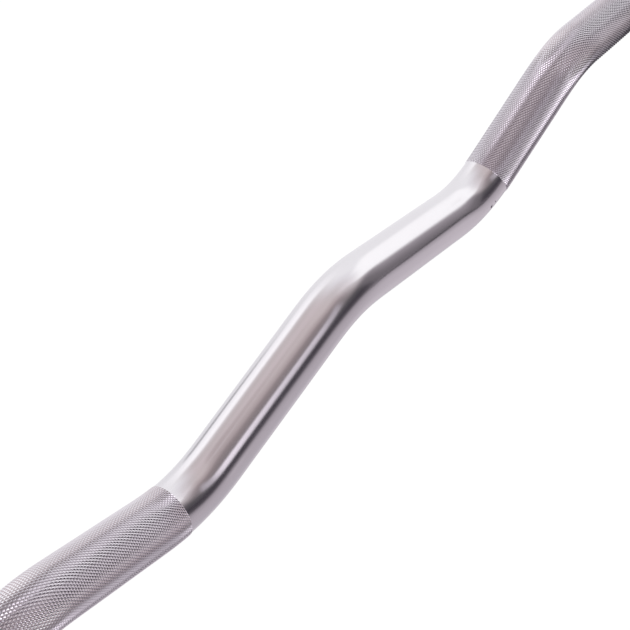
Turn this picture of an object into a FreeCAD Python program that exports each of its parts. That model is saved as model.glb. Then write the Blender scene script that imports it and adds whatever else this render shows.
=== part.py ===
import FreeCAD, Part
import math
import os

from FreeCAD import Vector

# EZ curl bar: a steel shaft bent into grips, with a sleeve for weight plates spinning on each end.
# Millimetres. X runs along the bar, Z is up, and the bends lie in the XZ plane with the middle one
# pointing up. The origin is on the floor under the middle of the bar, which rests on its flanges.

# Shaft
SHAFT_D = 28.0
KNURL_RISE = 0.35             # radial growth of the bar where the knurl is rolled in
CENTRE_LEG = 125.0            # middle corner to valley corner
CENTRE_SLOPE = 18.0           # degrees, falling from the middle
INNER_GRIP_LEG = 100.0        # valley corner to hump corner
INNER_GRIP_SLOPE = 26.0       # degrees, rising
OUTER_GRIP_LEG = 110.0        # hump corner to outer corner, which lies on the sleeve's axis
OUTER_GRIP_SLOPE = 8.5        # degrees, falling
OUTER_RUN = 82.5              # straight, from the outer corner to the sleeve's inner face
BEND_R = 56.0                 # of the centreline in every bend
KNURL_PAST_VALLEY = 11.0      # from the middle of the valley bend to the knurl's inner ring
KNURL_SHORT_OF_RUN = 14.0     # from the knurl's outer ring to the middle of the outer bend
JOURNAL_STEP = 1.5            # radial, down to the turned end that the bushings run on
JOURNAL_TAIL = 4.5            # left outside the snap ring's groove
JOURNAL_CHAMFER = 1.0

# Sleeve with its flange
SLEEVE_D = 50.0
SLEEVE_LENGTH = 200.0         # from the seal carrier's face to the outer end
SLEEVE_LEAD_IN = 2.0          # chamfer that guides a plate on
FLANGE_D = 78.0
FLANGE_WIDTH = 12.0
FLANGE_ROUND = 3.0            # rim edge on the hand's side
FLANGE_CHAMFER = 1.0          # rim edge on the plates' side
NECK_STEP = 2.0               # radial, from the sleeve down to the neck under the seal carrier

# Bushings and thrust washers
BUSHING_WALL = 2.5
BUSHING_LENGTH = 30.0
BUSHING_CHAMFER = 0.6
BUSHING_SHOULDER = 1.5        # ledge in the sleeve's bore that each bushing is pressed up to
WASHER_T = 2.0
WASHER_POCKET_STEP = 2.0      # radial, from the bushings' seat out to the pockets for the washers
WASHER_GAP = 0.5              # radial, round each washer in its pocket

# Seal carrier on the sleeve's neck, and the dust seal in it
CARRIER_WALL = 8.0            # radial, round the sleeve's neck
CARRIER_WIDTH = 10.0
CARRIER_ROUND = 4.0
SEAL_WIDTH = 3.8
SEAL_WALL = 4.0
SEAL_RECESS = 0.6             # below the carrier's face
SEAL_GROOVE = 1.4             # depth of the ring groove that frees the seal's lip

# Snap ring on the journal
SHAFT_RING_T = 1.2
SHAFT_RING_BEAM = 3.0
SHAFT_RING_GROOVE = 0.55      # depth in the journal
SHAFT_RING_LUG_D = 4.4
SHAFT_RING_HOLE_D = 2.0

# End cap and the snap ring that holds it
CAP_T = 3.0
CAP_LEDGE = 2.0               # radial, from the washer's pocket out to the bore for the cap
CAP_BOSS_D = 22.0
CAP_BOSS_RISE = 1.2
CAP_BEHIND = 6.0              # free depth between the journal's tip and the cap
CAP_RING_T = 1.75
CAP_RING_BEAM = 3.9
CAP_RING_GROOVE = 1.25        # depth in the sleeve's bore
CAP_RING_LUG_D = 5.8
CAP_RING_HOLE_D = 2.5
SLEEVE_LIP = 3.2              # left outside the cap's ring groove

# Clearances
RUNNING_GAP = 0.05            # radial, bushing on journal and seal on shaft
PRESS_GAP = 0.01              # radial, pieces pressed into or onto the sleeve
LOOSE_GAP = 0.1               # radial, washers, cap and rings
END_PLAY = 0.2                # axial, between each thrust washer and its bushing
SEAL_PLAY = 0.4               # axial, between the seal and the inner washer
RING_SLACK = 0.1              # axial, snap ring in its groove

AXIS_HEIGHT = FLANGE_D / 2


def slope(length, degrees):
    """The step in X and Z along a leg that rises at an angle."""
    angle = math.radians(degrees)
    return Vector(length * math.cos(angle), 0, length * math.sin(angle))


def bent_path(corners, radius):
    """A wire through straight legs, with every corner between them rounded to one radius."""
    edges = []
    start = corners[0]
    for before, corner, after in zip(corners, corners[1:], corners[2:]):
        arriving = (corner - before).normalize()
        leaving = (after - corner).normalize()
        half_turn = arriving.getAngle(leaving) / 2
        setback = radius * math.tan(half_turn)
        bend_start = corner - arriving * setback
        bend_end = corner + leaving * setback
        inward = (leaving - arriving).normalize()
        bend_middle = corner + inward * radius * (1 / math.cos(half_turn) - 1)
        edges.append(Part.LineSegment(start, bend_start).toShape())
        edges.append(Part.Arc(bend_start, bend_middle, bend_end).toShape())
        start = bend_end
    edges.append(Part.LineSegment(start, corners[-1]).toShape())
    return Part.Wire(edges)


def bend_middles(path):
    """The distance along a path to the middle of each of its bends."""
    middles = []
    passed = 0.0
    for edge in path.OrderedEdges:
        if isinstance(edge.Curve, Part.Circle):
            middles.append(passed + edge.Length / 2)
        passed += edge.Length
    return middles


def round_bar(path, start, stop, diameter):
    """A round bar along the stretch of a path between two distances from its first end."""
    stretch = []
    passed = 0.0
    for edge in path.OrderedEdges:
        first = max(start - passed, 0.0)
        last = min(stop - passed, edge.Length)
        if first < last:
            ends = [edge.getParameterByLength(first), edge.getParameterByLength(last)]
            stretch.append(edge.Curve.toShape(*ends))
        passed += edge.Length
    begin = stretch[0].valueAt(stretch[0].FirstParameter)
    heading = stretch[0].tangentAt(stretch[0].FirstParameter)
    section = Part.Face(Part.Wire(Part.makeCircle(diameter / 2, begin, heading)))
    return Part.Wire(stretch).makePipe(section)


def turned(*outline):
    """A solid turned about the X axis from corners given as (distance along X, diameter)."""
    points = [Vector(along, 0, diameter / 2) for along, diameter in outline]
    face = Part.Face(Part.makePolygon(points + points[:1]))
    return face.revolve(Vector(0, 0, 0), Vector(1, 0, 0), 360)


def snap_ring(at, thickness, inner_d, outer_d, lug_d, lug_circle_d, hole_d):
    """An open ring with two lugs beside its gap, each with a hole for pliers; the gap points up."""
    along = Vector(1, 0, 0)
    gap = lug_d / 2
    lug_y = (gap + lug_d) / 2
    lug_z = math.sqrt((lug_circle_d / 2) ** 2 - lug_y ** 2)
    lugs = [Vector(at, side * lug_y, lug_z) for side in (-1, 1)]
    ring = turned((at, inner_d), (at, outer_d), (at + thickness, outer_d), (at + thickness, inner_d))
    ring = ring.fuse([Part.makeCylinder(lug_d / 2, thickness, lug, along) for lug in lugs])
    opening = Part.makeBox(thickness, gap, outer_d, Vector(at, -gap / 2, 0))
    holes = [Part.makeCylinder(hole_d / 2, thickness, lug, along) for lug in lugs]
    return ring.cut([opening] + holes).removeSplitter()


def rims(solid, along, diameter):
    """The circular edges of a turned solid at one place along its axis."""
    found = []
    for edge in solid.Edges:
        centre = edge.BoundBox.Center
        if isinstance(edge.Curve, Part.Circle) and abs(edge.Curve.Radius - diameter / 2) < 1e-6:
            if abs(centre.x - along) < 1e-6:
                found.append(edge)
    return found


# Places along the sleeve's axis, measured outwards from the seal carrier's face
seal_at = SEAL_RECESS
neck_at = seal_at + SEAL_WIDTH
shoulder_at = neck_at + SEAL_PLAY
inner_bushing_at = shoulder_at + WASHER_T + END_PLAY
inner_bushing_end = inner_bushing_at + BUSHING_LENGTH
flange_face = CARRIER_WIDTH + FLANGE_WIDTH
cap_groove_end = SLEEVE_LENGTH - SLEEVE_LIP
cap_groove_at = cap_groove_end - CAP_RING_T - RING_SLACK
cap_at = cap_groove_at - CAP_T
shaft_groove_width = SHAFT_RING_T + RING_SLACK
retainer_depth = END_PLAY + WASHER_T + shaft_groove_width + JOURNAL_TAIL + CAP_BEHIND
outer_bushing_end = cap_at - retainer_depth
outer_bushing_at = outer_bushing_end - BUSHING_LENGTH
outer_washer_at = outer_bushing_end + END_PLAY
shaft_groove_at = outer_washer_at + WASHER_T
shaft_groove_end = shaft_groove_at + shaft_groove_width
journal_end = shaft_groove_end + JOURNAL_TAIL

# Diameters that fit one another
journal_d = SHAFT_D - 2 * JOURNAL_STEP
bushing_bore_d = journal_d + 2 * RUNNING_GAP
bushing_d = bushing_bore_d + 2 * BUSHING_WALL
bushing_seat_d = bushing_d + 2 * PRESS_GAP
sleeve_bore_d = bushing_seat_d - 2 * BUSHING_SHOULDER
washer_pocket_d = bushing_seat_d + 2 * WASHER_POCKET_STEP
washer_d = washer_pocket_d - 2 * WASHER_GAP
washer_bore_d = journal_d + 2 * LOOSE_GAP
seal_bore_d = SHAFT_D + 2 * RUNNING_GAP
seal_d = seal_bore_d + 2 * SEAL_WALL
seal_seat_d = seal_d + 2 * PRESS_GAP
neck_d = SLEEVE_D - 2 * NECK_STEP
carrier_bore_d = neck_d + 2 * PRESS_GAP
carrier_d = carrier_bore_d + 2 * CARRIER_WALL
cap_bore_d = washer_pocket_d + 2 * CAP_LEDGE
cap_d = cap_bore_d - 2 * LOOSE_GAP
cap_groove_d = cap_bore_d + 2 * CAP_RING_GROOVE
cap_ring_d = cap_groove_d - 2 * LOOSE_GAP
shaft_groove_d = journal_d - 2 * SHAFT_RING_GROOVE
shaft_ring_bore_d = shaft_groove_d + 2 * LOOSE_GAP

# The shaft's centreline, from its left shoulder to its right one
legs = [
    slope(CENTRE_LEG, -CENTRE_SLOPE),
    slope(INNER_GRIP_LEG, INNER_GRIP_SLOPE),
    slope(OUTER_GRIP_LEG, -OUTER_GRIP_SLOPE),
    slope(OUTER_RUN + shoulder_at, 0),
]
shoulder = Vector(sum(leg.x for leg in legs), 0, AXIS_HEIGHT)
right_corners = [shoulder]
for leg in reversed(legs):
    right_corners.append(right_corners[-1] - leg)
left_corners = [Vector(-corner.x, 0, corner.z) for corner in right_corners]
path = bent_path(left_corners + right_corners[-2::-1], BEND_R)
left_outer, left_hump, left_valley, middle, right_valley, right_hump, right_outer = bend_middles(path)
left_knurl = (left_outer + KNURL_SHORT_OF_RUN, left_valley - KNURL_PAST_VALLEY)
right_knurl = (right_valley + KNURL_PAST_VALLEY, right_outer - KNURL_SHORT_OF_RUN)

carrier_face = Vector(shoulder.x - shoulder_at, 0, AXIS_HEIGHT)


def at_both_ends(solid):
    """A solid drawn from the seal carrier's face, set at the left and at the right end of the bar."""
    right = solid.translated(carrier_face)
    left = right.rotated(Vector(0, 0, 0), Vector(0, 0, 1), 180)
    return left, right


# Shaft: smooth bar, two knurled lengths and a turned journal with its ring groove on each end
knurl_d = SHAFT_D + 2 * KNURL_RISE
lengths = [
    round_bar(path, 0, left_knurl[0], SHAFT_D),
    round_bar(path, left_knurl[0], left_knurl[1], knurl_d),
    round_bar(path, left_knurl[1], right_knurl[0], SHAFT_D),
    round_bar(path, right_knurl[0], right_knurl[1], knurl_d),
    round_bar(path, right_knurl[1], path.Length, SHAFT_D),
]
journal = turned(
    (shoulder_at, 0),
    (shoulder_at, journal_d),
    (shaft_groove_at, journal_d),
    (shaft_groove_at, shaft_groove_d),
    (shaft_groove_end, shaft_groove_d),
    (shaft_groove_end, journal_d),
    (journal_end - JOURNAL_CHAMFER, journal_d),
    (journal_end, journal_d - 2 * JOURNAL_CHAMFER),
    (journal_end, 0),
)
shaft = lengths[0].fuse(lengths[1:] + list(at_both_ends(journal))).removeSplitter()

# Sleeve: a thick tube with a flange that stops the plates, bored for everything that it holds
sleeve = turned(
    (neck_at, washer_pocket_d),
    (neck_at, neck_d),
    (CARRIER_WIDTH, neck_d),
    (CARRIER_WIDTH, FLANGE_D),
    (flange_face - FLANGE_CHAMFER, FLANGE_D),
    (flange_face, FLANGE_D - 2 * FLANGE_CHAMFER),
    (flange_face, SLEEVE_D),
    (SLEEVE_LENGTH - SLEEVE_LEAD_IN, SLEEVE_D),
    (SLEEVE_LENGTH, SLEEVE_D - SLEEVE_LEAD_IN),
    (SLEEVE_LENGTH, cap_bore_d),
    (cap_groove_end, cap_bore_d),
    (cap_groove_end, cap_groove_d),
    (cap_groove_at, cap_groove_d),
    (cap_groove_at, cap_bore_d),
    (cap_at, cap_bore_d),
    (cap_at, washer_pocket_d),
    (outer_bushing_end, washer_pocket_d),
    (outer_bushing_end, bushing_seat_d),
    (outer_bushing_at, bushing_seat_d),
    (outer_bushing_at, sleeve_bore_d),
    (inner_bushing_end, sleeve_bore_d),
    (inner_bushing_end, bushing_seat_d),
    (inner_bushing_at, bushing_seat_d),
    (inner_bushing_at, washer_pocket_d),
)
sleeve = sleeve.makeFillet(FLANGE_ROUND, rims(sleeve, CARRIER_WIDTH, FLANGE_D))

# Seal carrier: a ring pressed on the sleeve's neck up to the flange, with a seat for the seal in its mouth
seal_carrier = turned(
    (0, seal_seat_d),
    (0, carrier_d),
    (CARRIER_WIDTH, carrier_d),
    (CARRIER_WIDTH, carrier_bore_d),
    (neck_at, carrier_bore_d),
    (neck_at, seal_seat_d),
)
seal_carrier = seal_carrier.makeFillet(CARRIER_ROUND, rims(seal_carrier, 0, carrier_d))


def bushing(at):
    """A plain bush with its outside edges broken for pressing in."""
    end = at + BUSHING_LENGTH
    return turned(
        (at, bushing_bore_d),
        (at, bushing_d - 2 * BUSHING_CHAMFER),
        (at + BUSHING_CHAMFER, bushing_d),
        (end - BUSHING_CHAMFER, bushing_d),
        (end, bushing_d - 2 * BUSHING_CHAMFER),
        (end, bushing_bore_d),
    )


def thrust_washer(at):
    """A flat ring on the journal."""
    end = at + WASHER_T
    return turned((at, washer_bore_d), (at, washer_d), (end, washer_d), (end, washer_bore_d))


# Dust seal: a rubber ring whose lip is set free by a groove in its outside face
dust_seal = turned(
    (seal_at, seal_bore_d),
    (seal_at, seal_bore_d + SEAL_WALL / 2),
    (seal_at + SEAL_GROOVE, seal_bore_d + SEAL_WALL * 3 / 4),
    (seal_at, seal_bore_d + SEAL_WALL),
    (seal_at, seal_d),
    (neck_at, seal_d),
    (neck_at, seal_bore_d),
)

# End cap: a plain disc with a low boss
cap_face = cap_at + CAP_T
boss_face = cap_face + CAP_BOSS_RISE
end_cap = turned(
    (cap_at, 0),
    (cap_at, cap_d),
    (cap_face, cap_d),
    (cap_face, CAP_BOSS_D),
    (boss_face, CAP_BOSS_D - 2 * CAP_BOSS_RISE),
    (boss_face, 0),
)

shaft_ring = snap_ring(
    at=shaft_groove_at,
    thickness=SHAFT_RING_T,
    inner_d=shaft_ring_bore_d,
    outer_d=shaft_ring_bore_d + 2 * SHAFT_RING_BEAM,
    lug_d=SHAFT_RING_LUG_D,
    lug_circle_d=shaft_ring_bore_d + SHAFT_RING_LUG_D,
    hole_d=SHAFT_RING_HOLE_D,
)
cap_ring = snap_ring(
    at=cap_groove_at,
    thickness=CAP_RING_T,
    inner_d=cap_ring_d - 2 * CAP_RING_BEAM,
    outer_d=cap_ring_d,
    lug_d=CAP_RING_LUG_D,
    lug_circle_d=cap_ring_d - CAP_RING_LUG_D,
    hole_d=CAP_RING_HOLE_D,
)

# One STEP file for the shaft, and one for each end's copy of every other piece
end_pieces = {
    "sleeve": sleeve,
    "seal_carrier": seal_carrier,
    "inner_bushing": bushing(inner_bushing_at),
    "outer_bushing": bushing(outer_bushing_at),
    "dust_seal": dust_seal,
    "inner_washer": thrust_washer(shoulder_at),
    "outer_washer": thrust_washer(outer_washer_at),
    "shaft_ring": shaft_ring,
    "end_cap": end_cap,
    "cap_ring": cap_ring,
}
os.makedirs("parts", exist_ok=True)
shaft.exportStep("parts/shaft.step")
for name, solid in end_pieces.items():
    left, right = at_both_ends(solid)
    left.exportStep(f"parts/{name}_left.step")
    right.exportStep(f"parts/{name}_right.step")
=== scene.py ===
import math

import bpy
from mathutils import Matrix, Vector


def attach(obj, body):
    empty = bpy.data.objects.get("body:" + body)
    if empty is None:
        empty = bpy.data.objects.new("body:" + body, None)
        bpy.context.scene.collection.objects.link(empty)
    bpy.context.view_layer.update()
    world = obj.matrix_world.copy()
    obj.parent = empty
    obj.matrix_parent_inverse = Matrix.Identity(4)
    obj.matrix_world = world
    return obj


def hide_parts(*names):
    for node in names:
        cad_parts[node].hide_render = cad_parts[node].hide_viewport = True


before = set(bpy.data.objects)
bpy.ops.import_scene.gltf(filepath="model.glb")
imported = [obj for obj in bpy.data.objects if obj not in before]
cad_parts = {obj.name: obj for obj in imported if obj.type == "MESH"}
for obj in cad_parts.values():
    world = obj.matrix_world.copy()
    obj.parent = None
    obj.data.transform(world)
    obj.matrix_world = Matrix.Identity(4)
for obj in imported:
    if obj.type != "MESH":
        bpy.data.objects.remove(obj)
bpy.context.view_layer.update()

# The bar's sizes in metres, as in the CAD model apart from where the knurl starts.
MM = 0.001
BAR_R = 14.0 * MM
KNURL_RISE = 0.35 * MM
AXIS_HEIGHT = 39.0 * MM
BEND_R = 56.0 * MM
CENTRE_LEG, CENTRE_SLOPE = 125.0 * MM, math.radians(18.0)
INNER_GRIP_LEG, INNER_GRIP_SLOPE = 100.0 * MM, math.radians(26.0)
OUTER_GRIP_LEG, OUTER_GRIP_SLOPE = 110.0 * MM, math.radians(8.5)
OUTER_RUN = 82.5 * MM
KNURL_PAST_LEFT_VALLEY = 10.5 * MM  # the rolled knurl starts later on the right
KNURL_PAST_RIGHT_VALLEY = 15.5 * MM
KNURL_SHORT_OF_RUN = 14.0 * MM
SHOULDER_IN_SLEEVE = 4.8 * MM       # from the seal carrier's face to the journal's shoulder
JOURNAL_R = 12.5 * MM
JOURNAL_LENGTH = 181.15 * MM
JOURNAL_CHAMFER = 1.0 * MM
RING_GROOVE_AT = 175.35 * MM        # from the journal's shoulder
RING_GROOVE_WIDTH = 1.3 * MM
RING_GROOVE_DEPTH = 0.55 * MM

# The knurl: two families of rolled grooves that cross.
GROOVES_ROUND = 60
KNURL_PITCH = 2.27 * MM             # along the bar
KNURL_DEPTH = 0.43 * MM
CREST_SHARE = 0.30                  # flat left on each diamond's top, as a share of its width
CORE_DROP = 0.05 * MM               # the bar's core lies this far below the groove bottoms

# How finely the meshes follow those sizes.
LINE_SPARE = 40.0 * MM              # the line that the bar follows runs on past its ends
BEND_STEPS = 64
EASE_STEP = 1.0 * MM
EASE_ROUNDS = 64                    # more rounds make each bend start more gradually
OUTLINE_SPACING = 1.6 * MM
SIDES_ROUND = 112
SHARP_EDGE = math.radians(35.0)
LINING_ROWS = 64
WELD = 0.002 * MM                   # points closer than this become one

# Two small nicks in the chrome beside the right grip.
# Each has its place along the bar and round it, its half length and its half width.
NICKS = (
    (127.8 * MM, 66.2 * MM, 0.4 * MM, 0.8 * MM),
    (123.9 * MM, 65.7 * MM, 0.7 * MM, 1.3 * MM),
)


class Wire:
    """A node's output that takes part in sums: each operator adds a Math node to its tree."""

    def __init__(self, sheet, socket):
        self.sheet = sheet
        self.socket = socket

    def __add__(self, other):
        return self.sheet.math("ADD", self, other)

    def __radd__(self, other):
        return self.sheet.math("ADD", other, self)

    def __sub__(self, other):
        return self.sheet.math("SUBTRACT", self, other)

    def __rsub__(self, other):
        return self.sheet.math("SUBTRACT", other, self)

    def __mul__(self, other):
        return self.sheet.math("MULTIPLY", self, other)

    def __rmul__(self, other):
        return self.sheet.math("MULTIPLY", other, self)

    def __truediv__(self, other):
        return self.sheet.math("DIVIDE", self, other)

    def __rtruediv__(self, other):
        return self.sheet.math("DIVIDE", other, self)


class Sheet:
    """A node tree in the making."""

    def __init__(self, tree):
        self.tree = tree

    def add(self, kind, settings=None, sockets=None, out=0):
        """Adds a node, sets its settings and then its sockets, and gives one output or several."""
        node = self.tree.nodes.new(kind)
        for name, value in (settings or {}).items():
            if name == "stops":
                self.set_stops(node.color_ramp, value)
            else:
                setattr(node, name, value)
        for key, value in (sockets or {}).items():
            socket = self.pick(node.inputs, key)
            if isinstance(value, Wire):
                self.tree.links.new(value.socket, socket)
            else:
                socket.default_value = value
        if not node.outputs:
            return None
        if isinstance(out, tuple):
            return [Wire(self, self.pick(node.outputs, key)) for key in out]
        return Wire(self, self.pick(node.outputs, out))

    @staticmethod
    def pick(sockets, key):
        """A socket by its number, its identifier or its name."""
        if isinstance(key, int):
            return sockets[key]
        for socket in sockets:
            if key == socket.identifier or (key == socket.name and socket.enabled):
                return socket
        raise KeyError(key)

    @staticmethod
    def set_stops(ramp, stops):
        """Places a ramp's stops, then colours them, because a stop that moves can change their order."""
        ramp.interpolation = "EASE"
        while len(ramp.elements) < len(stops):
            ramp.elements.new(0.5)
        for element, (place, _) in zip(ramp.elements, stops):
            element.position = place
        for element, (_, colour) in zip(ramp.elements, stops):
            element.color = (*colour, 1.0)

    def math(self, operation, a, b=0.0):
        return self.add("ShaderNodeMath", {"operation": operation}, {0: a, 1: b})

    def vector(self, operation, a, b=(0, 0, 0)):
        return self.add("ShaderNodeVectorMath", {"operation": operation}, {0: a, 1: b})

    def times(self, vector, number):
        return self.add("ShaderNodeVectorMath", {"operation": "SCALE"}, {0: vector, "Scale": number})

    def length(self, vector):
        return self.add("ShaderNodeVectorMath", {"operation": "LENGTH"}, {0: vector}, "Value")

    def split(self, vector):
        return self.add("ShaderNodeSeparateXYZ", None, {0: vector}, ("X", "Y", "Z"))

    def join(self, x, y=0.0, z=0.0):
        return self.add("ShaderNodeCombineXYZ", None, {0: x, 1: y, 2: z})

    def fade(self, value, zero, one):
        """0 where a value has reached one end and 1 at the other, eased between them."""
        ends = {"Value": value, "From Min": min(zero, one), "From Max": max(zero, one)}
        ends["To Min"], ends["To Max"] = (0.0, 1.0) if one > zero else (1.0, 0.0)
        return self.add("ShaderNodeMapRange", {"interpolation_type": "SMOOTHSTEP"}, ends)

    def blend(self, share, a, b):
        """Colour a where share is 0 and b where it is 1."""
        colours = {"Factor_Float": share}
        for key, colour in (("A_Color", a), ("B_Color", b)):
            colours[key] = colour if isinstance(colour, Wire) else (*colour, 1.0)
        return self.add("ShaderNodeMix", {"data_type": "RGBA"}, colours, "Result_Color")

    def noise(self, place, scale, detail=2.0, roughness=0.5):
        sockets = {"Vector": place, "Scale": scale, "Detail": detail, "Roughness": roughness}
        return self.add("ShaderNodeTexNoise", None, sockets, "Fac")


# Finishes


class Finish(Sheet):
    """A material on its way to one Principled surface."""

    def __init__(self, name):
        self.material = bpy.data.materials.new(name)
        self.material.use_nodes = True
        self.material.node_tree.nodes.clear()
        super().__init__(self.material.node_tree)

    def surface(self, **sockets):
        """Ends the tree in a Principled surface and gives the material."""
        shader = self.add("ShaderNodeBsdfPrincipled", None, sockets)
        self.add("ShaderNodeOutputMaterial", None, {"Surface": shader})
        return self.material

    def bump(self, height, strength, distance, under=None):
        """A relief, laid over another one where there is one under it."""
        sockets = {"Height": height, "Strength": strength, "Distance": distance}
        if under is not None:
            sockets["Normal"] = under
        return self.add("ShaderNodeBump", None, sockets, "Normal")

    def laid_along(self):
        """The piece's own map: metres along the bar, then metres round it."""
        uv = self.add("ShaderNodeUVMap", {"uv_map": "along_and_round"}, None, "UV")
        along, around, _ = self.split(uv)
        return along, around

    def place(self):
        """The piece's own coordinates, whole and split."""
        spot = self.add("ShaderNodeTexCoord", None, None, "Object")
        return spot, self.split(spot)


def ground_chrome():
    """The smooth bar: centreless ground, so its finest marks run round it, then satin chromed."""
    f = Finish("ground_chrome")
    along, around = f.laid_along()
    spot, _ = f.place()
    ground = f.noise(f.join(along * 3600.0, around * 90.0), 1.0, 3.0, 0.6)
    ripple = f.noise(f.join(along * 330.0, around * 40.0), 1.0, 2.0)
    cloud = f.noise(spot, 38.0, 3.0, 0.6)
    drawn = f.noise(f.join(along * 1500.0, around * 500.0), 1.0, 2.0)
    normal = f.bump(ground, 0.10, 0.06 * MM)
    normal = f.bump(drawn, 0.30, 0.04 * MM, normal)
    normal = f.bump(ripple, 0.05, 0.10 * MM, normal)
    ragged = f.noise(spot, 1600.0) - 0.5
    nick = 0.0
    for nick_along, nick_round, half_length, half_width in NICKS:
        off = f.join((along - nick_along) / half_length, (around - nick_round) / half_width)
        nick = nick + f.fade(f.length(off) + 2.0 * ragged, 1.3, 0.8)
    colour = f.blend(cloud, (0.905, 0.885, 0.90), (0.945, 0.935, 0.945))
    return f.surface(
        **{
            "Base Color": f.blend(nick, colour, (0.12, 0.11, 0.12)),
            "Metallic": 1.0,
            "Roughness": 0.13 + 0.07 * cloud + 0.3 * nick,
            "Normal": normal,
        }
    )


def knurled_chrome():
    """The grips: bright worn crests, and groove bottoms darkened by painted shade and by the dirt they
    collect.
    """
    f = Finish("knurled_chrome")
    spot, _ = f.place()
    rise = f.add("ShaderNodeAttribute", {"attribute_name": "rise"}, None, "Fac")
    cloud = f.noise(spot, 60.0, 3.0, 0.6)
    grain = f.noise(spot, 2600.0, 2.0)
    # Painted shade, with collected dirt, darkens the groove bottoms; the dirt also makes them rougher.
    dirt_and_shade_in_grooves = f.fade(rise, 0.3, 0.0)
    bright = f.blend(cloud, (0.91, 0.88, 0.92), (0.98, 0.96, 0.98))
    return f.surface(
        **{
            "Base Color": f.blend(dirt_and_shade_in_grooves, bright, (0.42, 0.39, 0.43)),
            "Metallic": 1.0,
            "Roughness": 0.13 + 0.06 * cloud + 0.2 * dirt_and_shade_in_grooves,
            "Normal": f.bump(grain, 0.12, 0.02 * MM),
        }
    )


def turned_chrome(name, pitch):
    """Sleeves and carriers: bright chrome over fine turning marks, scuffed where plates slide."""
    f = Finish(name)
    spot, (x, y, z) = f.place()
    lines = f.noise(f.join(x / pitch, y * 8.0, z * 8.0), 1.0, 3.0, 0.6)
    scuff = f.noise(f.join(x * 14.0, y * 900.0, z * 900.0), 1.0, 2.0)
    cloud = f.noise(spot, 30.0, 3.0, 0.6)
    worn = f.fade(scuff, 0.6, 0.72) * f.fade(cloud, 0.35, 0.65)
    return f.surface(
        **{
            "Base Color": f.blend(cloud, (0.87, 0.87, 0.89), (0.93, 0.93, 0.95)),
            "Metallic": 1.0,
            "Roughness": 0.10 + 0.06 * cloud + 0.10 * worn,
            "Normal": f.bump(lines, 0.08, 0.03 * MM),
        }
    )


def sintered_bronze():
    """Bushings: porous bronze, darker where its oil has come out."""
    f = Finish("sintered_bronze")
    spot, _ = f.place()
    pores = f.noise(spot, 2400.0, 2.0, 0.7)
    oil = f.noise(spot, 90.0, 3.0)
    return f.surface(
        **{
            "Base Color": f.blend(oil, (0.36, 0.20, 0.08), (0.62, 0.40, 0.19)),
            "Metallic": 1.0,
            "Roughness": 0.26 + 0.2 * pores,
            "Normal": f.bump(pores, 0.3, 0.05 * MM),
        }
    )


def moulded_rubber():
    """Seals: dull black rubber with a fine mould grain and a little dust."""
    f = Finish("moulded_rubber")
    spot, _ = f.place()
    fine = f.noise(spot, 1900.0, 2.0)
    dust = f.noise(spot, 140.0, 3.0, 0.6)
    return f.surface(
        **{
            "Base Color": f.blend(dust, (0.014, 0.014, 0.015), (0.045, 0.043, 0.042)),
            "Roughness": 0.5 + 0.2 * dust,
            "Normal": f.bump(fine, 0.3, 0.05 * MM),
        }
    )


def ground_steel():
    """Washers: plain steel with fine grinding marks across it."""
    f = Finish("ground_steel")
    spot, (x, y, z) = f.place()
    marks = f.noise(f.join(x * 300.0, y * 2600.0, z * 160.0), 1.0, 2.0)
    cloud = f.noise(spot, 120.0, 2.0)
    return f.surface(
        **{
            "Base Color": f.blend(cloud, (0.50, 0.50, 0.51), (0.62, 0.62, 0.63)),
            "Metallic": 1.0,
            "Roughness": 0.24 + 0.14 * marks,
            "Normal": f.bump(marks, 0.15, 0.03 * MM),
        }
    )


def phosphated_steel():
    """Snap rings: dark phosphated spring steel, rubbed bright in places."""
    f = Finish("phosphated_steel")
    spot, _ = f.place()
    crystal = f.noise(spot, 3200.0, 2.0, 0.7)
    rubbed = f.fade(f.noise(spot, 420.0, 3.0), 0.56, 0.7)
    return f.surface(
        **{
            "Base Color": f.blend(rubbed, (0.055, 0.055, 0.06), (0.26, 0.26, 0.27)),
            "Metallic": 0.85,
            "Roughness": 0.52 - 0.2 * rubbed + 0.08 * crystal,
            "Normal": f.bump(crystal, 0.25, 0.03 * MM),
        }
    )


def faced_aluminium():
    """End caps: faced on a lathe, so the marks are rings round the bar's axis."""
    f = Finish("faced_aluminium")
    spot, (x, y, z) = f.place()
    from_axis = f.length(f.join(0.0, y, z - AXIS_HEIGHT))
    rings = f.noise(f.join(from_axis * 2600.0, x * 200.0), 1.0, 3.0, 0.7)
    cloud = f.noise(spot, 70.0, 3.0)
    return f.surface(
        **{
            "Base Color": f.blend(cloud, (0.70, 0.70, 0.71), (0.80, 0.80, 0.81)),
            "Metallic": 1.0,
            "Roughness": 0.24 + 0.1 * rings,
            "Normal": f.bump(rings, 0.22, 0.03 * MM),
        }
    )


# The bar's line: distances along it from the middle, with every corner rounded to the bend radius.


def bend_lengths():
    """Distances along the bar from its middle to the middle of each further bend, and to the shoulder."""
    legs = [
        (CENTRE_LEG, CENTRE_SLOPE),
        (INNER_GRIP_LEG, CENTRE_SLOPE + INNER_GRIP_SLOPE),
        (OUTER_GRIP_LEG, INNER_GRIP_SLOPE + OUTER_GRIP_SLOPE),
        (OUTER_RUN + SHOULDER_IN_SLEEVE, OUTER_GRIP_SLOPE),
    ]
    turns = [2 * CENTRE_SLOPE] + [turn for _, turn in legs[1:]] + [0.0]
    passed = BEND_R * turns[0] / 2
    middles = []
    for (leg, _), turn, following in zip(legs, turns, turns[1:]):
        passed += leg - BEND_R * (math.tan(turn / 2) + math.tan(following / 2))
        middles.append(passed + BEND_R * following / 2)
        passed += BEND_R * following
    return middles


valley, _, outer, shoulder = bend_lengths()
left_start = valley + KNURL_PAST_LEFT_VALLEY
right_start = valley + KNURL_PAST_RIGHT_VALLEY
knurl_stop = outer - KNURL_SHORT_OF_RUN
groove_r = BAR_R + KNURL_RISE - KNURL_DEPTH


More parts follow.
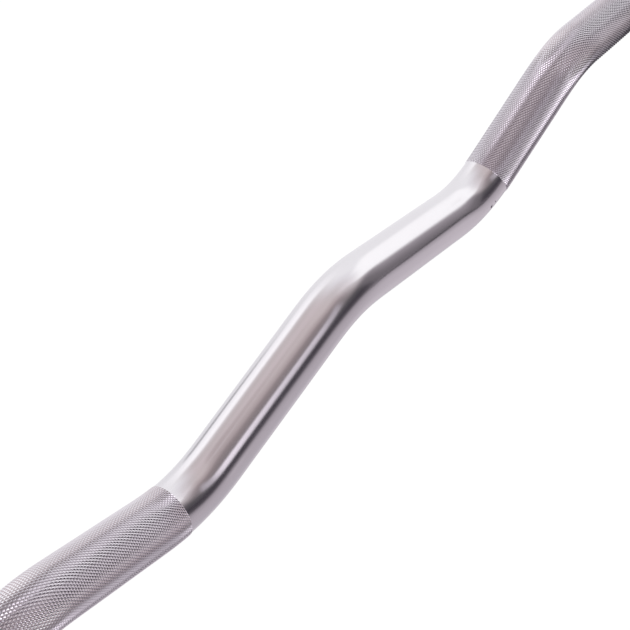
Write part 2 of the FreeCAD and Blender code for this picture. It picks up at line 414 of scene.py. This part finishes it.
def poly_line(name, points):
    """A plain open line through points, as a curve object for a tree to read."""
    data = bpy.data.curves.new(name, "CURVE")
    data.dimensions = "3D"
    spline = data.splines.new("POLY")
    spline.points.add(len(points) - 1)
    for point, place in zip(spline.points, points):
        point.co = (*place, 1.0)
    line = bpy.data.objects.new(name, data)
    bpy.context.scene.collection.objects.link(line)
    return line


def corner_line():
    """The bar's corners before they are rounded, from the left end to the right one."""
    x = 0.0
    z = AXIS_HEIGHT + OUTER_GRIP_LEG * math.sin(OUTER_GRIP_SLOPE)
    z += CENTRE_LEG * math.sin(CENTRE_SLOPE) - INNER_GRIP_LEG * math.sin(INNER_GRIP_SLOPE)
    right = [(x, 0.0, z)]
    run = OUTER_RUN + SHOULDER_IN_SLEEVE + JOURNAL_LENGTH + LINE_SPARE
    steps = [
        (CENTRE_LEG, -CENTRE_SLOPE),
        (INNER_GRIP_LEG, INNER_GRIP_SLOPE),
        (OUTER_GRIP_LEG, -OUTER_GRIP_SLOPE),
        (run, 0.0),
    ]
    for length, slope in steps:
        x += length * math.cos(slope)
        z += length * math.sin(slope)
        right.append((x, 0.0, z))
    left = [(-x, 0.0, z) for x, _, z in right[:0:-1]]
    return poly_line("corner_line", left + right)


def turned_outline():
    """The bar's outline, distance along it against radius, as one line from end to end."""

    def half(knurl_start):
        """From the middle to one end, as stretches of one radius each."""
        groove_at = shoulder + RING_GROOVE_AT
        groove_end = groove_at + RING_GROOVE_WIDTH
        tip = shoulder + JOURNAL_LENGTH
        stretches = [
            (0.0, knurl_start, BAR_R),
            (knurl_start, knurl_stop, groove_r - CORE_DROP),
            (knurl_stop, shoulder, BAR_R),
            (shoulder, groove_at, JOURNAL_R),
            (groove_at, groove_end, JOURNAL_R - RING_GROOVE_DEPTH),
            (groove_end, tip - JOURNAL_CHAMFER, JOURNAL_R),
        ]
        points = []
        for start, stop, radius in stretches:
            count = max(1, round((stop - start) / OUTLINE_SPACING)) if start < shoulder else 1
            points += [(start + (stop - start) * i / count, radius) for i in range(count + 1)]
        return points + [(tip, JOURNAL_R - JOURNAL_CHAMFER), (tip, 0.0)]

    left = [(-along, 0.0, radius) for along, radius in half(left_start)[:0:-1]]
    right = [(along, 0.0, radius) for along, radius in half(right_start)]
    return poly_line("turned_outline", left + right)


# Geometry trees


class Shape(Sheet):
    """A geometry tree with named inputs, run on an empty mesh and kept as a plain one."""

    def __init__(self, name, inputs):
        tree = bpy.data.node_groups.new(name, "GeometryNodeTree")
        super().__init__(tree)
        self.values = []
        self.given = self.tree.nodes.new("NodeGroupInput")
        for label, (kind, value) in inputs.items():
            socket = tree.interface.new_socket(name=label, in_out="INPUT", socket_type="NodeSocket" + kind)
            self.values.append((socket.identifier, value))
        tree.interface.new_socket(name="Geometry", in_out="OUTPUT", socket_type="NodeSocketGeometry")

    def size(self, label):
        """One of the tree's named inputs."""
        return Wire(self, self.given.outputs[label])

    def keep(self, geometry, label, kind, domain, value):
        """Stores a value on the mesh under a name, for the finishes to read."""
        settings = {"data_type": kind, "domain": domain}
        sockets = {"Geometry": geometry, "Name": label, "Value": value}
        return self.add("GeometryNodeStoreNamedAttribute", settings, sockets)

    def moved(self, geometry, place):
        return self.add("GeometryNodeSetPosition", None, {"Geometry": geometry, "Position": place})

    def eased(self, line):
        """Starts each bend gradually, as bending a bar does, and keeps the bend's middle in place."""
        step = {"Curve": line, "Length": self.size("Ease step")}
        fine = self.add("GeometryNodeResampleCurve", {"mode": "LENGTH"}, step)
        once = self.blurred(self.add("GeometryNodeInputPosition"))
        return self.moved(fine, self.vector("SUBTRACT", self.times(once, 2.0), self.blurred(once)))

    def blurred(self, place):
        """Evens out a place along the line with its neighbours' places."""
        sockets = {"Value": place, "Iterations": self.size("Ease rounds"), "Weight": 1.0}
        return self.add("GeometryNodeBlurAttribute", {"data_type": "FLOAT_VECTOR"}, sockets)

    def rolled(self, flat):
        """Rolls a flat sheet, whose X is along, Y the angle round and Z the radius, onto the bent line."""
        line = self.add("GeometryNodeObjectInfo", None, {"Object": self.size("Corner line")}, "Geometry")
        bends = {"Curve": line, "Count": self.size("Bend steps"), "Radius": self.size("Bend radius")}
        path = self.eased(self.add("GeometryNodeFilletCurve", {"mode": "POLY"}, bends))
        middle = self.add("GeometryNodeCurveLength", None, {"Curve": path}) * 0.5
        along, angle, radius = self.split(self.add("GeometryNodeInputPosition"))
        flat = self.keep(flat, "along_and_round", "FLOAT2", "CORNER", self.join(along, angle * BAR_R, 0.0))
        centre, heading = self.add(
            "GeometryNodeSampleCurve",
            {"mode": "LENGTH", "use_all_curves": True},
            {"Curves": path, "Length": along + middle},
            ("Position", "Tangent"),
        )
        up = self.vector("NORMALIZE", self.vector("CROSS_PRODUCT", heading, (0.0, 1.0, 0.0)))
        across = self.join(0.0, radius * self.math("SINE", angle), 0.0)
        outward = self.times(up, radius * self.math("COSINE", angle))
        place = self.vector("ADD", centre, self.vector("ADD", outward, across))
        solid = self.moved(flat, place)
        return self.add("GeometryNodeMergeByDistance", None, {"Geometry": solid, "Distance": WELD})

    def made(self, name, geometry):
        """Ends the tree, runs it once and keeps the result as a plain mesh object."""
        whole = self.add("GeometryNodeRealizeInstances", None, {"Geometry": geometry})
        dressed = {"Geometry": whole, "Material": self.size("Finish")}
        whole = self.add("GeometryNodeSetMaterial", None, dressed)
        end = self.tree.nodes.new("NodeGroupOutput")
        self.tree.links.new(whole.socket, end.inputs[0])
        maker = bpy.data.objects.new(name + "_maker", bpy.data.meshes.new(name + "_maker"))
        bpy.context.scene.collection.objects.link(maker)
        modifier = maker.modifiers.new("shape", "NODES")
        modifier.node_group = self.tree
        for identifier, value in self.values:
            modifier[identifier] = value
        ready = maker.evaluated_get(bpy.context.evaluated_depsgraph_get())
        mesh = bpy.data.meshes.new_from_object(ready)
        mesh.name = name
        piece = bpy.data.objects.new(name, mesh)
        bpy.context.scene.collection.objects.link(piece)
        bpy.data.objects.remove(maker)
        return piece


def line_inputs(finish):
    """The inputs that every tree on the bar's line has."""
    return {
        "Corner line": ("Object", corners),
        "Bend radius": ("Float", BEND_R),
        "Bend steps": ("Int", BEND_STEPS),
        "Ease step": ("Float", EASE_STEP),
        "Ease rounds": ("Int", EASE_ROUNDS),
        "Finish": ("Material", finish),
    }


def bare_bar(name, finish):
    """The whole bar without its knurl: a turned outline wrapped round and rolled onto the bent line."""
    outline = turned_outline()
    s = Shape(
        name,
        {
            "Outline": ("Object", outline),
            "Sides": ("Int", SIDES_ROUND),
            "Sharp edge": ("Float", SHARP_EDGE),
            **line_inputs(finish),
        },
    )
    drawn = s.add("GeometryNodeObjectInfo", None, {"Object": s.size("Outline")}, "Geometry")
    rows = s.add("GeometryNodeAttributeDomainSize", {"component": "CURVE"}, {0: drawn}, "Point Count")
    columns = s.size("Sides") + 1
    grid = s.add("GeometryNodeMeshGrid", None, {"Vertices X": rows, "Vertices Y": columns}, "Mesh")
    index = s.add("GeometryNodeInputIndex")
    row = s.math("FLOOR", (index + 0.5) / columns)
    turn = (index - row * columns) / s.size("Sides") * math.tau
    spot = s.add("GeometryNodeInputPosition")
    sample = {"data_type": "FLOAT_VECTOR", "domain": "POINT"}
    point = s.add("GeometryNodeSampleIndex", sample, {"Geometry": drawn, "Value": spot, "Index": row})
    along, _, radius = s.split(point)
    solid = s.rolled(s.moved(grid, s.join(along, turn, radius)))
    solid = s.add("GeometryNodeSetShadeSmooth", {"domain": "FACE"}, {"Geometry": solid, "Shade Smooth": True})
    angle = s.add("GeometryNodeInputMeshEdgeAngle", None, None, "Unsigned Angle")
    above = {"data_type": "FLOAT", "operation": "GREATER_THAN"}
    sharp = s.add("FunctionNodeCompare", above, {0: angle, 1: s.size("Sharp edge")})
    edges = {"Geometry": solid, "Selection": sharp, "Shade Smooth": False}
    bar = s.made(name, s.add("GeometryNodeSetShadeSmooth", {"domain": "EDGE"}, edges))
    bpy.data.objects.remove(outline)
    return bar


def grip_lining(s, length, around):
    """The knurl's inner wall, out of sight in the bar's core. Its end rows meet the outermost grooves."""
    rows = s.size("Lining rows")
    step = length / (rows - 3.0)
    sizes = {
        "Vertices X": rows,
        "Vertices Y": around * 2.0 + 1.0,
        "Size X": length + step * 2.0,
        "Size Y": math.tau,
    }
    grid = s.add("GeometryNodeMeshGrid", None, sizes, "Mesh")
    x, y, _ = s.split(s.add("GeometryNodeInputPosition"))
    past_end = s.math("GREATER_THAN", s.math("ABSOLUTE", x), (length + step) * 0.5)
    radius = s.size("Groove radius") - s.size("Lining depth") * (1.0 - past_end)
    grid = s.moved(grid, s.join(x + (s.size("Start") + s.size("Stop")) * 0.5, y, radius))
    return s.add("GeometryNodeFlipFaces", None, {"Mesh": grid})


def knurled_grip(name, finish, start, stop):
    """Diamonds on a flat sheet, every other row half a step on, cut off square at the ends, then rolled."""
    s = Shape(
        name,
        {
            "Start": ("Float", start),
            "Stop": ("Float", stop),
            "Diamonds along": ("Int", round((stop - start) / KNURL_PITCH)),
            "Diamonds round": ("Int", GROOVES_ROUND),
            "Groove radius": ("Float", groove_r),
            "Depth": ("Float", KNURL_DEPTH),
            "Crest share": ("Float", CREST_SHARE),
            "Lining rows": ("Int", LINING_ROWS),
            "Lining depth": ("Float", 2.0 * CORE_DROP),
            **line_inputs(finish),
        },
    )
    count = s.size("Diamonds along")
    around = s.size("Diamonds round")
    length = s.size("Stop") - s.size("Start")
    pitch = length / count
    turn = math.tau / around
    cone = {
        "Vertices": 4,
        "Radius Top": s.size("Crest share"),
        "Radius Bottom": 1.0,
        "Depth": s.size("Depth"),
    }
    diamond, foot = s.add("GeometryNodeMeshCone", {"fill_type": "NGON"}, cone, ("Mesh", "Bottom"))
    footless = {"Geometry": diamond, "Selection": foot}
    diamond = s.add("GeometryNodeDeleteGeometry", {"domain": "FACE"}, footless)
    field = s.tree.nodes.new("GeometryNodeJoinGeometry")
    for offset in (0.0, 0.5):
        rows = count + (1.0 - 2.0 * offset)
        sizes = {
            "Vertices X": rows,
            "Vertices Y": around,
            "Size X": pitch * (rows - 1.0),
            "Size Y": turn * (around - 1.0),
        }
        spots = s.add("GeometryNodeMeshGrid", None, sizes, "Mesh")
        x, y, _ = s.split(s.add("GeometryNodeInputPosition"))
        x = x + (s.size("Start") + s.size("Stop")) * 0.5
        y = y + turn * offset
        spots = s.moved(spots, s.join(x, y, s.size("Groove radius")))
        sizes = {"Points": spots, "Instance": diamond, "Scale": s.join(pitch * 0.5, turn * 0.5, 1.0)}
        laid = s.add("GeometryNodeInstanceOnPoints", None, sizes)
        s.tree.links.new(laid.socket, field.inputs[0])
    lining = grip_lining(s, length, around)
    s.tree.links.new(lining.socket, field.inputs[0])
    sheet = s.add("GeometryNodeRealizeInstances", None, {"Geometry": Wire(s, field.outputs[0])})
    x, y, z = s.split(s.add("GeometryNodeInputPosition"))
    x = s.math("MAXIMUM", s.math("MINIMUM", x, s.size("Stop")), s.size("Start"))
    sheet = s.moved(sheet, s.join(x, y, z))
    _, _, z = s.split(s.add("GeometryNodeInputPosition"))
    sheet = s.keep(sheet, "rise", "FLOAT", "POINT", (z - s.size("Groove radius")) / s.size("Depth"))
    solid = s.rolled(sheet)
    flat = {"Geometry": solid, "Shade Smooth": False}
    return s.made(name, s.add("GeometryNodeSetShadeSmooth", {"domain": "FACE"}, flat))


corners = corner_line()
bar_finish = ground_chrome()
grip_finish = knurled_chrome()
bar = bare_bar("bar", bar_finish)
grips = [
    knurled_grip("grip_left", grip_finish, -knurl_stop, -left_start),
    knurled_grip("grip_right", grip_finish, right_start, knurl_stop),
]
bpy.data.objects.remove(corners)
for piece in [bar] + grips:
    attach(piece, "shaft")
    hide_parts("shaft")

# The CAD pieces that stay get their finishes.
end_finishes = {
    "sleeve": turned_chrome("sleeve_chrome", 0.5 * MM),
    "seal_carrier": turned_chrome("carrier_chrome", 0.35 * MM),
    "inner_bushing": sintered_bronze(),
    "dust_seal": moulded_rubber(),
    "inner_washer": ground_steel(),
    "shaft_ring": phosphated_steel(),
    "end_cap": faced_aluminium(),
}
end_finishes["outer_bushing"] = end_finishes["inner_bushing"]
end_finishes["outer_washer"] = end_finishes["inner_washer"]
end_finishes["cap_ring"] = end_finishes["shaft_ring"]
for piece_name, finish in end_finishes.items():
    for side in ("left", "right"):
        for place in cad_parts[f"{piece_name}_{side}"].material_slots:
            place.material = finish


# The studio: a white floor and surround, and soft light from named directions.
FLOOR_R = 9.0
DOME_R = 8.9
CARD_PLACE = (0.52, -0.22, -0.004)
CARD_SPREAD = (0.46, 0.52, 1.0)
LAMP_PLACE = (0.3, 0.3, 2.2)
LAMP_SIZE = 3.2
LAMP_WATTS = 40.0


def hide_from(thing, *rays):
    """Leaves a thing out of what the named kinds of rays meet."""
    for ray in rays:
        setattr(thing, "visible_" + ray, False)


def white_floor():
    """The floor that the bar rests on: plain white, and able to take shade under the bar's ends."""
    f = Finish("floor_white")
    spot, (x, y, _) = f.place()
    faint = f.noise(spot, 3.0)
    # The stretches under the sleeves, in metres from the bar's middle and from its line.
    from_middle = f.math("ABSOLUTE", x)
    under_ends = f.fade(from_middle, 0.34, 0.42) * f.fade(from_middle, 0.82, 0.66)
    under_ends = under_ends * f.fade(f.math("ABSOLUTE", y), 0.30, 0.12)
    shaded = f.blend(faint, (0.46, 0.46, 0.46), (0.48, 0.48, 0.48))
    f.surface(
        **{
            "Base Color": f.blend(under_ends, (0.03, 0.03, 0.03), shaded),
            "Roughness": 0.9,
            "Specular IOR Level": 0.0,
            "Emission Color": f.blend(under_ends, (1.0, 1.0, 1.0), (0.55, 0.55, 0.55)),
            "Emission Strength": 1.0,
        }
    )
    bpy.ops.mesh.primitive_circle_add(vertices=96, radius=FLOOR_R, fill_type="NGON")
    floor = bpy.context.object
    floor.name = "floor"
    floor.data.materials.append(f.material)
    hide_from(floor, "glossy")
    return floor


def white_dome():
    """A white backdrop far off that only the camera sees."""
    f = Finish("dome_white")
    glow = f.add("ShaderNodeEmission", None, {"Color": (1, 1, 1, 1), "Strength": 1.0})
    f.add("ShaderNodeOutputMaterial", None, {"Surface": glow})
    bpy.ops.mesh.primitive_uv_sphere_add(segments=64, ring_count=32, radius=DOME_R)
    dome = bpy.context.object
    dome.name = "dome"
    dome.data.materials.append(f.material)
    hide_from(dome, "glossy", "diffuse", "shadow", "transmission")
    return dome


def painted_shade_reflection():
    """A painted reflection of shade: a dark card below the right half of the bar that only the metal mirrors.
    """
    f = Finish("card_dark")
    spot, _ = f.place()
    # The card's dark colour is painted shade, seen only in the metal's reflections.
    f.surface(
        **{
            "Base Color": f.blend(f.noise(spot, 20.0), (0.05, 0.047, 0.052), (0.06, 0.057, 0.062)),
            "Roughness": 0.9,
            "Specular IOR Level": 0.0,
        }
    )
    bpy.ops.mesh.primitive_plane_add(size=1.0, location=CARD_PLACE)
    card = bpy.context.object
    card.name = "card"
    card.scale = CARD_SPREAD
    card.data.materials.append(f.material)
    hide_from(card, "camera", "diffuse", "shadow")
    return card


def studio_light():
    """What the metal mirrors: a white table and backdrop on the far side, a dim near side, a grey ceiling."""
    world = bpy.data.worlds.new("studio")
    world.use_nodes = True
    world.node_tree.nodes.clear()
    bpy.context.scene.world = world
    w = Sheet(world.node_tree)
    x, y, z = w.split(w.add("ShaderNodeTexCoord", None, None, "Generated"))
    azimuth = w.math("ARCTAN2", x, y) * math.degrees(1.0)      # 0 looks along +Y, 90 along +X
    height = w.math("ARCSINE", z) * math.degrees(1.0)

    def by_height(*stops):
        """Colours up the surround, each at a height in degrees."""
        share = (height + 90.0) / 180.0
        places = [((degrees + 90.0) / 180.0, colour) for degrees, colour in stops]
        return w.add("ShaderNodeValToRGB", {"stops": places}, {"Fac": share}, "Color")

    def wrapped(turn):
        """A turn in degrees, brought to between -180 and 180."""
        return w.add("ShaderNodeMath", {"operation": "WRAP"}, {0: turn, 1: 180.0, 2: -180.0})

    def patch(at, half, edge, low=-90.0, high=90.0, under=1.0, over=1.0, seen_at=azimuth):
        """1 in a patch of the surround and 0 past its soft edges, given in degrees of azimuth and height."""
        inside = w.fade(w.math("ABSOLUTE", wrapped(seen_at - at)), half + edge, half)
        return inside * w.fade(height, low - under, low) * w.fade(height, high + over, high)

    near = by_height(
        (-60, (0.46, 0.425, 0.47)),
        (-30, (0.445, 0.40, 0.445)),
        (-14, (0.40, 0.36, 0.40)),
        (-7, (0.32, 0.285, 0.32)),
        (2, (0.085, 0.075, 0.088)),
        (12, (0.05, 0.043, 0.055)),
        (24, (0.085, 0.078, 0.088)),
        (44, (0.215, 0.185, 0.195)),
        (58, (0.27, 0.225, 0.235)),
        (70, (0.46, 0.39, 0.40)),
        (80, (0.575, 0.505, 0.515)),
    )
    far_left = by_height(
        (-60, (0.84, 0.83, 0.86)),
        (-40, (0.78, 0.775, 0.80)),
        (-22, (0.72, 0.71, 0.745)),
        (-2, (0.80, 0.79, 0.82)),
        (8, (0.98, 0.96, 1.0)),
        (29, (1.06, 1.04, 1.07)),
        (40, (0.60, 0.55, 0.57)),
        (48, (0.55, 0.49, 0.50)),
        (66, (0.60, 0.525, 0.545)),
        (88, (0.575, 0.505, 0.515)),
    )
    far_right = by_height(
        (-70, (0.72, 0.70, 0.73)),
        (-46, (0.86, 0.85, 0.88)),
        (-6, (0.84, 0.83, 0.86)),
        (40, (0.86, 0.85, 0.88)),
        (53, (0.78, 0.76, 0.80)),
        (64, (0.68, 0.64, 0.67)),
        (76, (0.58, 0.53, 0.545)),
        (88, (0.575, 0.505, 0.515)),
    )
    far = w.blend(w.fade(azimuth, -8.0, 44.0), far_left, far_right)
    leaning = azimuth - 14.0 * w.fade(height, 20.0, 52.0) + 26.0 * w.fade(height, -20.0, -55.0)
    leaning = leaning - 34.0 * w.fade(height, 42.0, 34.0) * w.fade(azimuth, 0.0, -20.0)
    far_side = patch(at=24.0, half=79.0, edge=7.0, seen_at=leaning)
    spill = patch(at=24.0, half=83.0, edge=25.0, seen_at=leaning)
    sky = w.blend(far_side * 0.66 + spill * 0.34, near, far)
    left_wall = patch(at=-72.0, half=30.0, edge=16.0, low=10.0, high=34.0, under=10.0, over=12.0)
    sky = w.blend(left_wall * (1.0 - spill), sky, (0.39, 0.36, 0.39))
    side_table = patch(at=84.0, half=36.0, edge=34.0, high=-24.0, over=14.0)
    sky = w.blend(side_table * (1.0 - spill), sky, (0.57, 0.52, 0.57))
    side_gap = patch(at=96.0, half=5.0, edge=9.0, low=-45.0, high=-9.0, under=8.0, over=8.0)
    sky = w.blend(side_gap, sky, (0.085, 0.075, 0.085))
    right_wall = patch(at=120.0, half=15.0, edge=9.0, low=4.0, high=32.0, under=11.0, over=10.0)
    wall_colour = w.blend(w.fade(azimuth, 110.0, 132.0), (0.32, 0.29, 0.32), (0.165, 0.148, 0.165))
    sky = w.blend(right_wall, sky, wall_colour)
    window_glow = patch(at=121.0, half=6.0, edge=34.0, low=44.0, high=63.0, under=17.0, over=11.0)
    sky = w.blend(0.42 * window_glow, sky, (0.78, 0.71, 0.74))
    right_window = patch(
        at=84.0, half=19.0, edge=10.0, low=18.0, high=40.0, under=16.0, over=16.0, seen_at=leaning
    )
    sky = w.blend(right_window, sky, (1.03, 1.02, 1.045))
    table_edge = patch(at=-6.0, half=11.5, edge=3.0, low=-9.0, high=-4.0, under=6.0, over=5.0)
    sky = w.blend(table_edge, sky, (0.36, 0.35, 0.38))

    # The near window is a bowed band that rises to both sides of its middle.
    along_window = wrapped(azimuth + 150.0)
    off_window = w.math("ABSOLUTE", height - 25.0 - 0.01 * along_window * along_window)
    from_brightest = w.math("ABSOLUTE", along_window - 8.0)
    window = w.fade(off_window, 16.0, 6.0) * w.fade(from_brightest, 60.0, 50.0)
    window_colour = w.blend(w.fade(along_window, -33.0, -15.0), (0.46, 0.42, 0.47), (0.93, 0.86, 0.95))
    window_colour = w.blend(w.fade(from_brightest, 24.0, 6.0), window_colour, (1.85, 1.72, 1.90))
    window_colour = w.blend(w.fade(along_window, 20.0, 34.0), window_colour, (0.68, 0.63, 0.69))
    sky = w.blend(window, sky, window_colour)
    near_table = patch(at=-169.0, half=9.0, edge=9.0, low=-29.0, high=-17.0, under=7.0, over=7.0)
    sky = w.blend(near_table, sky, (0.72, 0.66, 0.72))
    light = w.add("ShaderNodeBackground", None, {"Color": sky, "Strength": 1.0})
    w.add("ShaderNodeOutputWorld", None, {"Surface": light})


def overhead_lamp():
    """A broad soft lamp over the bar, by which its ends shade the floor."""
    lamp = bpy.data.lights.new("overhead", "AREA")
    lamp.shape = "DISK"
    lamp.size = LAMP_SIZE
    lamp.energy = LAMP_WATTS
    overhead = bpy.data.objects.new("overhead", lamp)
    overhead.location = LAMP_PLACE
    hide_from(overhead, "glossy")
    bpy.context.scene.collection.objects.link(overhead)


# The camera, where the photograph was taken from.
EYE = (-0.22445, -0.19238, 0.45017)
RIGHTWARD = (0.63221, -0.77330, -0.04801)
AHEAD = (0.42181, 0.39542, -0.81595)
LENS = 57.43
SENSOR = 36.0
NEAREST_SEEN = 0.01


def camera():
    """The photograph's viewing angle: close above the middle of the bar, looking along it and down."""
    ahead = Vector(AHEAD).normalized()
    right = Vector(RIGHTWARD)
    right = (right - ahead * right.dot(ahead)).normalized()
    up = right.cross(ahead)
    data = bpy.data.cameras.new("camera")
    data.lens = LENS
    data.sensor_width = SENSOR
    data.clip_start = NEAREST_SEEN
    eye = bpy.data.objects.new("camera", data)
    turn = Matrix((right, up, -ahead)).transposed().to_4x4()
    eye.matrix_world = Matrix.Translation(EYE) @ turn
    bpy.context.scene.collection.objects.link(eye)
    bpy.context.scene.camera = eye


for thing in (white_floor(), white_dome(), painted_shade_reflection()):
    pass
studio_light()
overhead_lamp()
camera()
bpy.context.scene.view_settings.view_transform = "Standard"
